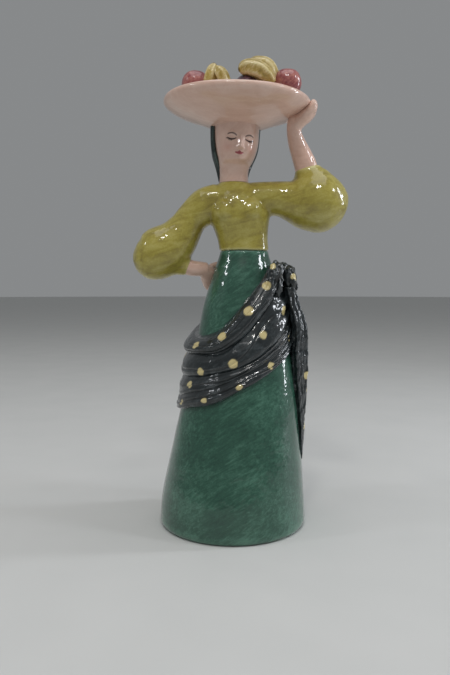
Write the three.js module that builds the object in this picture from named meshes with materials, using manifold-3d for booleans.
// A hand-built figure of glazed earthenware: a woman who carries a dish of fruit on her head,
// one hand at the dish's rim and the other on her hip, in a long skirt with a knotted shawl.
// Millimetres, +Z up. She faces -Y, and her left hand, the raised one, is towards +X.
// Each piece of clay that the potter forms and lutes on is a mesh of its own. The skirt and
// bodice are hollow and share one air space, which opens at the foot. The arms are solid.
import * as THREE from "three";
import { LoftGeometry } from "three/addons/geometries/LoftGeometry.js";
import { mergeVertices } from "three/addons/utils/BufferGeometryUtils.js";
import Module from "manifold-3d";

// ---- Driving dimensions -------------------------------------------------------------------
const JOINT_GAP = 0.3; // between two luted pieces
const CLAY_WALL = 4.5; // skirt and bodice
const FOOT_RADIUS = 48.8;
const WAIST_Z = 181; // top of the skirt, underside of the bodice
const NECKLINE_Z = 225.6; // top of the bodice, underside of the neck
const CROWN_Z = 260.2; // top of the head, where the dish is luted on
const DISH_X = 2.9; // the dish stands a little to one side of the foot's centre
const DISH_RADIUS = 47.5;
const DISH_FOOT_Z = CROWN_Z + JOINT_GAP;
const RAISED_ARMHOLE_X = 25; // planes where the sleeves are luted to the bodice
const HIP_ARMHOLE_X = -17.5;
const AIR_HOLE_RADIUS = 2.5; // lets the head dry and fire without cracking

// ---- Glazes -------------------------------------------------------------------------------
const glaze = (color, roughness = 0.12) =>
  new THREE.MeshStandardMaterial({ color, roughness, metalness: 0 });
const GREEN_GLAZE = glaze(0x3f7a63);
const CHARTREUSE_GLAZE = glaze(0xa5a03c);
const FLESH_GLAZE = glaze(0xd3b3a2);
const HAIR_GLAZE = glaze(0x26302e);
const CHARCOAL_GLAZE = glaze(0x33363a);
const RED_GLAZE = glaze(0xb5595a);
const PEACH_GLAZE = glaze(0xc98468);
const BANANA_GLAZE = glaze(0xc4b155);
const PLUM_GLAZE = glaze(0x4a3340);

// ---- Solids -------------------------------------------------------------------------------
const wasm = await Module();
wasm.setup();

function solidOf(geometry) {
  const bare = new THREE.BufferGeometry();
  bare.setAttribute("position", geometry.getAttribute("position"));
  bare.setIndex(geometry.index);
  const merged = mergeVertices(bare, 1e-4);
  const vertProperties = merged.attributes.position.array;
  const triVerts = new Uint32Array(merged.index.array);
  return new wasm.Manifold(new wasm.Mesh({ numProp: 3, vertProperties, triVerts }));
}

function geometryOf(solid) {
  const mesh = solid.getMesh();
  const geometry = new THREE.BufferGeometry();
  geometry.setAttribute("position", new THREE.BufferAttribute(mesh.vertProperties, 3));
  geometry.setIndex(new THREE.BufferAttribute(mesh.triVerts, 1));
  geometry.computeVertexNormals();
  return geometry;
}

const union = (solids) => solids.reduce((sum, solid) => sum.add(solid));
const cut = (solid, cutters) => cutters.reduce((rest, cutter) => rest.subtract(cutter), solid);

// Cutting can leave crumbs, and the piece is the largest body.
function largest(solid) {
  return solid.decompose().reduce((a, b) => (a.volume() > b.volume() ? a : b));
}

const smoothCurve = (points) => new THREE.CatmullRomCurve3(points, false, "centripetal");

// A closed loft through stations [x, y, z, across, deep], each the centre of an oval section and
// its two half widths. A level loft has horizontal sections, with across along X and deep along
// Y. Any other has sections square to its spine, with deep along Y as nearly as it can be.
function loft(stations, { sides = 20, steps = 12, grow = 0, level = false } = {}) {
  const spine = smoothCurve(stations.map(([x, y, z]) => new THREE.Vector3(x, y, z)));
  const widths = smoothCurve(stations.map((s) => new THREE.Vector3(s[3], s[4], 0)));
  const sections = [];
  for (let i = 0; i <= steps; i++) {
    const centre = spine.getPoint(i / steps);
    const width = widths.getPoint(i / steps).addScalar(grow);
    const along = level ? new THREE.Vector3(0, 0, 1) : spine.getTangent(i / steps);
    const deep = new THREE.Vector3(0, 1, 0).addScaledVector(along, -along.y).normalize();
    const across = new THREE.Vector3().crossVectors(deep, along);
    if (i === 0) centre.addScaledVector(along, -grow);
    if (i === steps) centre.addScaledVector(along, grow);
    sections.push(oval(centre, across, deep, width.x, width.y, sides));
  }
  return solidOf(new LoftGeometry(sections, { capStart: true, capEnd: true }));
}

function oval(centre, across, deep, halfAcross, halfDeep, sides) {
  return Array.from({ length: sides }, (_, k) => {
    const angle = (2 * Math.PI * k) / sides;
    return centre
      .clone()
      .addScaledVector(across, halfAcross * Math.cos(angle))
      .addScaledVector(deep, halfDeep * Math.sin(angle));
  });
}

// A solid turned from a profile of [radius, z] points, which starts and ends on the axis.
function turned(profile, sides, [x, y, z] = [0, 0, 0]) {
  const points = profile.map(([radius, height]) => new THREE.Vector2(radius, height));
  const geometry = new THREE.LatheGeometry(points, sides);
  geometry.rotateX(Math.PI / 2).translate(x, y, z);
  return solidOf(geometry);
}

// The same stations, in from the outside by the wall's thickness.
const narrowed = (stations) =>
  stations.map(([x, y, z, across, deep]) => [x, y, z, across - CLAY_WALL, deep - CLAY_WALL]);

const figure = new THREE.Group();

function addPiece(name, solid, material) {
  const mesh = new THREE.Mesh(geometryOf(solid), material);
  mesh.name = name;
  figure.add(mesh);
}

// ---- Skirt: a thrown hollow cone with a soft foot edge, which leans a little to her left ----
const SKIRT = [
  [0, 0, 0, FOOT_RADIUS - 2.6, FOOT_RADIUS - 2.6],
  [0, 0, 1.1, FOOT_RADIUS - 0.9, FOOT_RADIUS - 0.9],
  [0, 0, 4, FOOT_RADIUS, FOOT_RADIUS],
  [0.3, 0, 20, 47.6, 47.6],
  [1.7, 0, 43, 44.3, 44],
  [3.6, 0, 78, 38.2, 37.5],
  [4.8, 0, 104, 33, 31.8],
  [5.7, 0, 129, 28.3, 26.5],
  [6.3, 0, 144, 26, 24],
  [6.85, 0, 156, 23.2, 21.3],
  [7.2, 0, 168, 19.9, 18],
  [7.55, 0, WAIST_Z, 15.8, 13.6],
];
const SKIRT_STEPS = 16;
const skirtLoft = { level: true, sides: 32, steps: SKIRT_STEPS };
const skirtOuter = loft(SKIRT, skirtLoft);
const skirtClearance = loft(SKIRT, { ...skirtLoft, grow: JOINT_GAP });

// The hollow follows the outside, and runs out through the foot and the waist.
const skirtHollow = loft(
  [[0, 0, -2, 43.2, 43.2], [0, 0, 6, 43.6, 43.6]]
    .concat(narrowed(SKIRT.slice(3)))
    .concat([[7.6, 0, WAIST_Z + 3, 10.6, 8.6]]),
  { level: true, sides: 20, steps: 9 },
);
addPiece("skirt", skirtOuter.subtract(skirtHollow), GREEN_GLAZE);

// ---- Bodice and sleeves ---------------------------------------------------------------------
const TORSO = [
  [7.55, 0, WAIST_Z + JOINT_GAP, 16.1, 13.9],
  [6.8, 0, 188, 16.3, 13.8],
  [5.6, -0.4, 195, 17.8, 14.6],
  [4.3, -0.8, 202, 20, 15.6],
  [3.2, -0.5, 209, 21, 15.2],
  [2.2, 0, 216, 18.4, 13.4],
  [1.3, 0.7, 221.5, 14, 11.3],
  [0.8, 1.3, NECKLINE_Z, 9.9, 9.7],
];
const RAISED_UPPER_ARM = [
  [6, 0, 214.5, 11, 10],
  [20, 0, 215, 11.2, 10.4],
  [30, 0, 215.4, 11.2, 11],
  [38, 0, 213.8, 13.6, 13.2],
  [46, 0, 212.6, 17.2, 16.5],
  [55, 0, 213, 19.9, 18.8],
  [64, 0, 213.8, 18, 17.2],
  [71, 0, 214.4, 12.2, 11.8],
  [74.6, 0, 214.6, 5.6, 5.4],
  [75.7, 0, 214.6, 1, 1],
];
const RAISED_CUFF = [
  [53.6, 0, 213, 17.2, 16.6],
  [52.6, 0, 219, 17.4, 16.4],
  [51.6, 0, 223.8, 16.6, 15.4],
  [50.4, -0.2, 228.8, 12.9, 12.2],
  [49.2, -0.4, 232.8, 9.2, 8.9],
  [48.6, -0.6, 235.6, 8, 7.8],
];
const HIP_UPPER_ARM = [
  [-8, 0, 213.5, 12, 10.5],
  [-17.5, 0, 210.3, 12.2, 10.8],
  [-26.3, 0.3, 203.2, 10.6, 10.8],
  [-31, 0.5, 196.4, 11.5, 12],
  [-36.8, 0.5, 189, 14.4, 14],
  [-43, 0.5, 183.4, 16.8, 15.6],
  [-49, 0.5, 179.4, 17, 15.8],
  [-56, 0.5, 176.8, 15, 14],
  [-61, 0.5, 176, 11, 10.4],
  [-64.4, 0.5, 175.6, 6, 5.8],
  [-66.1, 0.5, 175.4, 1, 1],
];
const HIP_CUFF = [
  [-43, 0.5, 177.5, 13, 12.5],
  [-36.5, 0.5, 174.4, 9.6, 9.6],
  [-32, 0.5, 172.2, 7.2, 7.2],
  [-28.3, 0.5, 170.9, 5.8, 5.8],
];

// Keeps the part of a solid on one side of the plane x = place.
const beyondX = (solid, place) => solid.trimByPlane([1, 0, 0], place);
const beforeX = (solid, place) => solid.trimByPlane([-1, 0, 0], -place);

function buildBodiceAndSleeves() {
  const torso = loft(TORSO, { level: true, sides: 22, steps: 9 });
  const raised = union([
    loft(RAISED_UPPER_ARM, { sides: 18, steps: 14 }),
    loft(RAISED_CUFF, { sides: 14, steps: 6 }),
  ]);
  const hip = union([
    loft(HIP_UPPER_ARM, { sides: 18, steps: 14 }),
    loft(HIP_CUFF, { sides: 14, steps: 4 }),
  ]);
  const torsoHollow = loft(
    [[7.6, 0, WAIST_Z - 2, 10.6, 8.6]].concat(narrowed(TORSO.slice(1, 6))),
    { level: true, sides: 12, steps: 5 },
  );

  const half = JOINT_GAP / 2;
  const shoulders = union([torso, raised, hip]);
  const body = beyondX(beforeX(shoulders, RAISED_ARMHOLE_X - half), HIP_ARMHOLE_X + half);
  addPiece("bodice", largest(body.subtract(torsoHollow)), CHARTREUSE_GLAZE);
  addPiece("raised_sleeve", largest(beyondX(raised, RAISED_ARMHOLE_X + half)), CHARTREUSE_GLAZE);
  addPiece("hip_sleeve", largest(beforeX(hip, HIP_ARMHOLE_X - half)), CHARTREUSE_GLAZE);
}
buildBodiceAndSleeves();

// ---- Dish: a thrown shallow bowl, luted to the crown ----------------------------------------
const DISH = [
  [0, DISH_FOOT_Z],
  [15, DISH_FOOT_Z],
  [24, DISH_FOOT_Z + 3.2],
  [34, DISH_FOOT_Z + 6.8],
  [42, DISH_FOOT_Z + 10.2],
  [46.3, DISH_FOOT_Z + 12.8],
  [DISH_RADIUS, DISH_FOOT_Z + 14.9],
  [DISH_RADIUS - 0.5, DISH_FOOT_Z + 16.6],
  [DISH_RADIUS - 2, DISH_FOOT_Z + 17.2],
  [43.3, DISH_FOOT_Z + 16.2],
  [38, DISH_FOOT_Z + 13.6],
  [30, DISH_FOOT_Z + 10.2],
  [20, DISH_FOOT_Z + 6.4],
  [11, DISH_FOOT_Z + 4.4],
  [0, DISH_FOOT_Z + 3.9],
];
const DISH_SIDES = 40;

// The dish made thicker all round by the joint gap, to cut what is luted to it.
function dishClearance() {
  const curve = new THREE.SplineCurve(DISH.map(([r, z]) => new THREE.Vector2(r, z)));
  const grown = DISH.map(([radius, z], i) => {
    const along = curve.getTangent(i / (DISH.length - 1));
    const onAxis = i === 0 || i === DISH.length - 1;
    const out = onAxis ? new THREE.Vector2(0, i ? 1 : -1) : new THREE.Vector2(along.y, -along.x);
    return [onAxis ? 0 : radius + out.x * JOINT_GAP * 1.2, z + out.y * JOINT_GAP * 1.2];
  });
  return turned(grown, DISH_SIDES, [DISH_X, 0, 0]);
}

addPiece("dish", turned(DISH, DISH_SIDES, [DISH_X, 0, 0]), FLESH_GLAZE);
const dishCutter = dishClearance();

// ---- Head with its neck, and the hair laid over its back --------------------------------------
const HEAD = [
  [0.8, 1.4, NECKLINE_Z + JOINT_GAP, 9.4, 9.2],
  [0.7, 1.2, 230, 9.3, 9.1],
  [0.9, 0.8, 234, 9.6, 9.5],
  [1.3, 0.3, 236.4, 10, 10.1],
  [1.9, -0.8, 238.6, 10.8, 12.2],
  [2.3, -1, 241.5, 11.8, 13.3],
  [2.5, -0.9, 245, 12.9, 14],
  [2.6, -0.6, 250, 13.8, 15],
  [2.6, -0.2, 255, 14.2, 15.4],
  [2.7, 0, CROWN_Z, 14.6, 15.6],
];
const HAIR = [
  [0.5, 2.2, 227.2, 9.9, 9.9],
  [0.5, 2.2, 232, 10.5, 10.9],
  [0.8, 1.8, 237, 12.1, 13],
  [1.5, 1.4, 242, 14.3, 15.6],
  [1.5, 1.2, 247, 15.6, 17],
  [1.5, 1, 252, 16, 17.6],
  [1.6, 1, 256, 16.2, 17.8],
  [1.8, 1, CROWN_Z - 0.2, 16.4, 17.8],
];
const HEAD_TURN = THREE.MathUtils.degToRad(9); // towards her left

function buildHead() {
  const skull = loft(HEAD, { level: true, sides: 20, steps: 9 });
  const chin = loft(
    [[2.6, -9.5, 236.8, 1.5, 1.2], [2.8, -10.8, 239.4, 4.2, 3.4], [2.8, -9.5, 243.5, 1.5, 1.2]],
    { level: true, sides: 10, steps: 6 },
  );
  const nose = loft(
    [[3.8, -14.4, 244.4, 1.2, 0.8], [3.7, -15.5, 246.6, 1.5, 1.6], [3.4, -14.4, 252, 0.7, 0.6]],
    { level: true, sides: 8, steps: 6 },
  );
  const airHole = loft(
    [[0.8, 1.4, NECKLINE_Z - 2, AIR_HOLE_RADIUS, AIR_HOLE_RADIUS],
      [2.4, 0.4, 252, AIR_HOLE_RADIUS, AIR_HOLE_RADIUS]],
    { level: true, sides: 10, steps: 2 },
  );
  addPiece("head_and_neck", union([skull, chin, nose]).subtract(airHole), FLESH_GLAZE);

  const cap = loft(HAIR, { level: true, sides: 20, steps: 7 });
  const scalp = loft(HEAD, { level: true, sides: 20, steps: 9, grow: JOINT_GAP + 0.2 });
  const behindTheEars = [-Math.sin(HEAD_TURN), Math.cos(HEAD_TURN), 0];
  const hairline = -1.4;
  const hair = cap.trimByPlane(behindTheEars, hairline).subtract(scalp);
  addPiece("hair", largest(hair), HAIR_GLAZE);
}
buildHead();

// ---- Forearms and hands -------------------------------------------------------------------------
const FINGER = { sides: 6, steps: 4 };
const PALM = { sides: 10, steps: 6 };
const ARM = { sides: 12, steps: 5 };
const RAISED_FOREARM = [
  [47.6, -0.6, 235.9, 7.3, 7.1],
  [44.4, -1.2, 244, 6.6, 6.4],
  [41, -2.2, 252, 5.5, 5.3],
  [39.5, -2.8, 257, 4.8, 4.7],
  [39.6, -3.2, 260.8, 4.7, 4.6],
];
const HIP_FOREARM = [
  [-28.2, 0.55, 170.7, 5.3, 5.3],
  [-23.4, 1.2, 170.1, 5.1, 5.1],
  [-19.4, 2.4, 169.6, 4.9, 4.8],
  [-17.6, 3.3, 169.2, 4.8, 4.7],
];

function buildRaisedArm() {
  const cuffClearance = loft(RAISED_CUFF, { sides: 14, steps: 6, grow: JOINT_GAP });
  const forearm = loft(RAISED_FOREARM, ARM).subtract(cuffClearance);
  addPiece("raised_forearm", largest(forearm), FLESH_GLAZE);
  const forearmClearance = loft(RAISED_FOREARM, { ...ARM, grow: JOINT_GAP });
  const palm = loft(
    [
      [39.8, -3.3, 261.2, 4.7, 4.5],
      [42.4, -3.8, 264, 4.5, 5.8],
      [46, -4.4, 266.8, 4.7, 7],
      [49, -4.8, 269.2, 4.2, 7.4],
      [50.4, -4.8, 271.8, 3.4, 7.4],
      [50.6, -4.8, 273.8, 2.2, 6.2],
    ],
    PALM,
  );
  // Four fingers stand up against the rim's outer edge, with the thumb in front of them.
  const fingers = [0, 1, 2, 3].map((k) => {
    const y = 0.6 - 3.6 * k;
    const reach = [-0.2, 0.2, 0.1, -0.3][k];
    return loft(
      [
        [50.4, y, 268.6, 2.2, 1.9],
        [51.2, y, 271.4, 2.2, 1.9],
        [51.2, y, 273.6, 2, 1.8],
        [50.4, y, 275.2 + reach, 1.7, 1.7],
        [49.6, y, 276 + reach, 0.9, 0.9],
      ],
      FINGER,
    );
  });
  const thumb = loft(
    [
      [44.6, -8.4, 265.4, 2.6, 2.6],
      [48, -10.8, 268.4, 2.6, 2.5],
      [50, -11.8, 271.4, 2.4, 2.4],
      [50.2, -12, 274, 1.2, 1.2],
    ],
    FINGER,
  );
  const hand = cut(union([palm, thumb, ...fingers]), [dishCutter, forearmClearance]);
  addPiece("raised_hand", largest(hand), FLESH_GLAZE);
}
buildRaisedArm();

function buildHipArm() {
  const cuffClearance = loft(HIP_CUFF, { sides: 14, steps: 4, grow: JOINT_GAP });
  const forearm = cut(loft(HIP_FOREARM, ARM), [skirtClearance, cuffClearance]);
  addPiece("hip_forearm", largest(forearm), FLESH_GLAZE);
  const forearmClearance = loft(HIP_FOREARM, { ...ARM, grow: JOINT_GAP });
  const palm = loft(
    [
      [-17.3, 3.45, 169.05, 4.8, 4.7],
      [-15.6, 5.6, 167.2, 5.2, 4.3],
      [-14.4, 8.4, 164, 5.4, 3.4],
      [-13.2, 11, 160.8, 5.4, 3],
      [-12.4, 12.6, 159, 4.6, 2.2],
    ],
    PALM,
  );
  // The fingers lie together on the back of the hip, and the thumb along the waist.
  const fingers = [0, 1, 2, 3].map((k) => {
    const rise = 7.6 - 3.4 * k;
    const back = 1.5 * k;
    return loft(
      [
        [-12.8 - 0.3 * k, 10 - 0.6 * back, 158 + rise, 2, 2],
        [-9.6 - 0.5 * k, 15.4 - back, 155.4 + rise, 1.9, 1.9],
        [-5.4 - 1.1 * k, 18.8 - 0.9 * back, 153 + rise, 1.7, 1.7],
        [-2.6 - 1.5 * k, 20 - 0.8 * back, 151.6 + rise, 0.9, 0.9],
      ],
      FINGER,
    );
  });
  const thumb = loft(
    [
      [-14.6, 6, 170.6, 2.4, 2.4],
      [-11.2, 9.6, 172.4, 2.1, 2.1],
      [-7.6, 12.2, 173, 1.9, 1.9],
      [-5.6, 13.2, 173, 1, 1],
    ],
    FINGER,
  );
  const hand = cut(union([palm, thumb, ...fingers]), [skirtClearance, forearmClearance]);
  addPiece("hip_hand", largest(hand), FLESH_GLAZE);
}
buildHipArm();

// ---- Fruit: balls and bananas pressed into the dish --------------------------------------------
// [name, x, y, z, radius, glaze], with x and y from the foot's centre.
const ROUND_FRUIT = [
  ["apple_front_left", -23, -22, 281, 8.6, RED_GLAZE],
  ["apple_front_right", 33, -24, 282.6, 8.6, RED_GLAZE],
  ["apple_back", 12, 33, 281.8, 8.6, RED_GLAZE],
  ["peach_right", 31.5, -6.2, 281, 8, PEACH_GLAZE],
  ["peach_back_left", -16, 24.5, 279.6, 8.2, PEACH_GLAZE],
  ["plum_front", 8.5, -25.5, 278.4, 8.2, PLUM_GLAZE],
  ["plum_left", -4.6, -18.5, 276.2, 6.8, PLUM_GLAZE],
  ["plum_back_right", 28.5, 12.5, 278.6, 7.6, PLUM_GLAZE],
];
const BANANAS = {
  banana_left_upright: [
    [-15, -28, 276.5, 2.6, 2.6],
    [-14.6, -27.8, 281, 3.5, 3.5],
    [-13.4, -27.4, 286, 3.6, 3.6],
    [-12, -27, 290, 2.7, 2.7],
    [-11.4, -26.8, 292.4, 0.9, 0.9],
  ],
  banana_left_leaning: [
    [-4.8, -30.4, 277, 2.6, 2.6],
    [-5.4, -30.4, 281, 3.5, 3.5],
    [-7.4, -30, 285.2, 3.7, 3.7],
    [-9.8, -29.4, 288.2, 2.6, 2.6],
    [-10.9, -29, 289.6, 0.9, 0.9],
  ],
  banana_right_lower: [
    [23.6, -31, 280, 2.4, 2.4],
    [20.4, -31.2, 284, 4.1, 4.1],
    [14.8, -31.2, 287.6, 5.1, 5.1],
    [9, -31, 288.9, 4.8, 4.8],
    [4.8, -30.8, 288, 3.3, 3.3],
    [2.8, -30.7, 287.4, 0.9, 0.9],
  ],
  banana_right_upper: [
    [23.6, -23.6, 280.6, 2.8, 2.8],
    [23.4, -23.2, 286, 4.4, 4.4],
    [20.6, -22.6, 291.4, 5.2, 5.2],
    [16, -22.1, 294.4, 4.7, 4.7],
    [11.2, -21.8, 295.2, 3.2, 3.2],
    [9, -21.7, 295.2, 0.9, 0.9],
  ],
  banana_side_outer: [
    [-30.8, -4.6, 282, 0.9, 0.9],
    [-31.2, -1, 279.2, 3.1, 3.1],
    [-31.2, 4.5, 277.8, 4.3, 4.3],
    [-29, 11.5, 278.6, 4, 4],
    [-26.2, 16.2, 280.6, 2.3, 2.3],
    [-25.2, 18, 281.9, 0.9, 0.9],
  ],
  banana_side_inner: [
    [-21.6, -7.4, 277, 0.9, 0.9],
    [-22, -3.6, 275.2, 3.1, 3.1],
    [-22, 1.8, 274.6, 4.1, 4.1],
    [-20.2, 8, 275.6, 3.9, 3.9],
    [-18, 12.2, 277.4, 2.3, 2.3],
    [-17, 13.8, 278.4, 0.9, 0.9],
  ],
};

// An apple's, peach's or plum's profile: a ball with a dimple at the top.
function fruitProfile(radius) {
  const rings = 8;
  const dimple = 0.18 * radius;
  const points = Array.from({ length: rings + 1 }, (_, i) => {
    const angle = (Math.PI * i) / rings;
    return [radius * Math.sin(angle), -radius * Math.cos(angle)];
  });
  points[0][0] = points[rings][0] = 0;
  points[rings][1] -= dimple;
  return points;
}

const BANANA_LOFT = { sides: 8, steps: 7 };

function buildFruit() {
  for (const [name, x, y, z, radius, material] of ROUND_FRUIT) {
    const ball = turned(fruitProfile(radius), 12, [x, y, z]);
    addPiece(name, largest(ball.subtract(dishCutter)), material);
  }
  const round = ROUND_FRUIT.map(([, x, y, z, radius]) =>
    turned(fruitProfile(radius + JOINT_GAP * 1.6), 12, [x, y, z]),
  );
  const laid = [];
  for (const [name, stations] of Object.entries(BANANAS)) {
    const banana = cut(loft(stations, BANANA_LOFT), [dishCutter, ...round, ...laid]);
    addPiece(name, largest(banana), BANANA_GLAZE);
    laid.push(loft(stations, { ...BANANA_LOFT, grow: JOINT_GAP * 1.4 }));
  }
}
buildFruit();

// ---- Shawl: four overlapping folds round the hips, a knot, and two hanging ends ------------------
// The angle is 0 at the front and grows towards her left. The folds leave the knot at her left
// hip, pass in front, and come back to it from behind. Each row is [angle, z of the shawl's top
// edge, z of the three creases, z of its lower edge].
const SHAWL = [
  [74, 172.5, 161, 137, 128, 117.6],
  [50, 171, 155, 126, 118.6, 110.3],
  [25, 160.5, 140, 115.4, 110, 101.3],
  [0, 146.5, 124.5, 107.4, 102.4, 93.6],
  [-25, 131.2, 116, 103.6, 95.6, 85.2],
  [-50, 125.5, 114.7, 100.4, 90.8, 81.2],
  [-90, 128, 115, 100, 86.6, 77.6],
  [-140, 141, 127, 113, 100, 88],
  [-200, 157, 143, 129, 116, 104],
  [-250, 168, 156, 142, 130, 118],
  [-282, 172.5, 162, 149, 138, 126],
];
const FOLD_NAMES = ["shawl_fold_top", "shawl_fold_upper", "shawl_fold_lower", "shawl_fold_hem"];
const FOLD_THICKNESS = [7.4, 6.4, 4.8, 4]; // how far each fold stands off the skirt
const FOLD_STEPS = 32;
const FOLD_CLEARANCE = 0.6; // from the skirt, so that a fold's chords clear it too
const shawlCurve = (column) =>
  new THREE.CatmullRomCurve3(SHAWL.map((row) => new THREE.Vector3(row[0], row[column], 0)));
const SHAWL_CURVES = [1, 2, 3, 4, 5].map(shawlCurve);

// The skirt's centre and half widths at a height.
function skirtAt(z) {
  const upper = Math.max(1, SKIRT.findIndex((s) => s[2] >= z));
  const [low, high] = [SKIRT[upper - 1], SKIRT[upper]];
  const share = (z - low[2]) / (high[2] - low[2]);
  return [0, 3, 4].map((i) => THREE.MathUtils.lerp(low[i], high[i], share));
}

// A point that stands off the skirt at an angle in radians and a height.
function offSkirt(angle, z, distance) {
  const [x, across, deep] = skirtAt(z);
  return new THREE.Vector3(
    x + (across + distance) * Math.sin(angle),
    -(deep + distance) * Math.cos(angle),
    z,
  );
}

function fold(k, grow = 0) {
  const sections = [];
  for (let i = 0; i <= FOLD_STEPS; i++) {
    const share = i / FOLD_STEPS;
    const [top, bottom] = [SHAWL_CURVES[k].getPoint(share), SHAWL_CURVES[k + 1].getPoint(share)];
    const angle = THREE.MathUtils.degToRad(top.x) + (i ? 0 : grow / 40) - (share < 1 ? 0 : grow / 40);
    const halfHeight = (top.y - bottom.y) / 2 - JOINT_GAP / 2 + grow;
    const middle = (top.y + bottom.y) / 2;
    const thick = FOLD_THICKNESS[k] + grow;
    sections.push(foldSection(angle, middle, halfHeight, thick));
  }
  return solidOf(new LoftGeometry(sections, { capStart: true, capEnd: true }));
}

// A fold's section is a half-round bead, whose flat side lies against the skirt.
function foldSection(angle, middle, halfHeight, thick) {
  const bead = [
    [-1, FOLD_CLEARANCE],
    [-1, 0.35 * thick],
    [-0.7, 0.8 * thick],
    [-0.1, thick],
    [0.65, 0.8 * thick],
    [1, 0.35 * thick],
    [1, FOLD_CLEARANCE],
  ];
  return bead.map(([height, out]) => offSkirt(angle, middle + height * halfHeight, out));
}

const TAIL_FRONT = [
  [36.5, -7, 160, 4, 5],
  [39.8, -7, 147, 3.9, 6.2],
  [44, -6.8, 131, 4.5, 7],
  [44.6, -5.6, 113, 5.2, 7],
  [45, -4.6, 92, 4.6, 6.2],
  [46, -4, 68, 2.9, 4.4],
  [46.4, -3.6, 50, 1.7, 2.4],
  [46.6, -3.4, 42.5, 0.7, 1],
];
const TAIL_BACK = [
  [36.5, 5.4, 160, 3.6, 4.4],
  [39.6, 6.2, 147, 3.6, 5.4],
  [43.4, 7.6, 131, 4.2, 6.2],
  [44, 8.8, 113, 4.8, 6.6],
  [44.2, 9.6, 92, 4.3, 6],
  [44.8, 9.8, 72, 2.8, 4.4],
  [45.4, 9.6, 60, 1, 1.6],
];

function buildShawl() {
  FOLD_NAMES.forEach((name, k) => {
    addPiece(name, fold(k), CHARCOAL_GLAZE);
  });
  const foldClearance = [0, 1, 2, 3].map((k) => fold(k, JOINT_GAP));
  const underneath = [skirtClearance, ...foldClearance];

  const knot = union([
    loft([[29.5, -16, 153, 2.4, 3], [29, -16.4, 158, 4.2, 5.6], [28.6, -14.6, 166, 4.6, 6.6],
      [27, -12.5, 172, 3.6, 5], [26.4, -12, 174.2, 1.4, 2]], { level: true, sides: 10, steps: 6 }),
    loft([[36, -4, 150, 3.4, 5], [37.2, -4.6, 156, 4.4, 8], [36.4, -4, 165, 5.2, 8.6],
      [33.8, -3.4, 171, 4.6, 7], [31.4, -3.4, 174, 1.6, 2.6]], { level: true, sides: 10, steps: 6 }),
  ]);
  const tails = [TAIL_FRONT, TAIL_BACK].map((stations) => ({
    solid: loft(stations, { sides: 10, steps: 9 }),
    clearance: loft(stations, { sides: 10, steps: 9, grow: JOINT_GAP * 1.3 }),
  }));
  const topOfTails = 158;
  const wholeKnot = cut(knot, underneath);
  addPiece("shawl_knot", largest(wholeKnot), CHARCOAL_GLAZE);
  const knotClearance = knot.trimByPlane([0, 0, 1], 0);
  const below = (solid) => solid.trimByPlane([0, 0, -1], -(topOfTails - JOINT_GAP));
  const front = cut(below(tails[0].solid), [...underneath, knotClearance]);
  addPiece("shawl_end_front", largest(front), CHARCOAL_GLAZE);
  const back = cut(below(tails[1].solid), [...underneath, knotClearance, tails[0].clearance]);
  addPiece("shawl_end_back", largest(back), CHARCOAL_GLAZE);
}
buildShawl();

// The origin is the middle of the whole object's footprint, on the surface that it stands on.
const bounds = new THREE.Box3().setFromObject(figure);
const middle = bounds.getCenter(new THREE.Vector3());
figure.position.set(-middle.x, -middle.y, 0);

const part = new THREE.Group();
part.add(figure);
export default part;
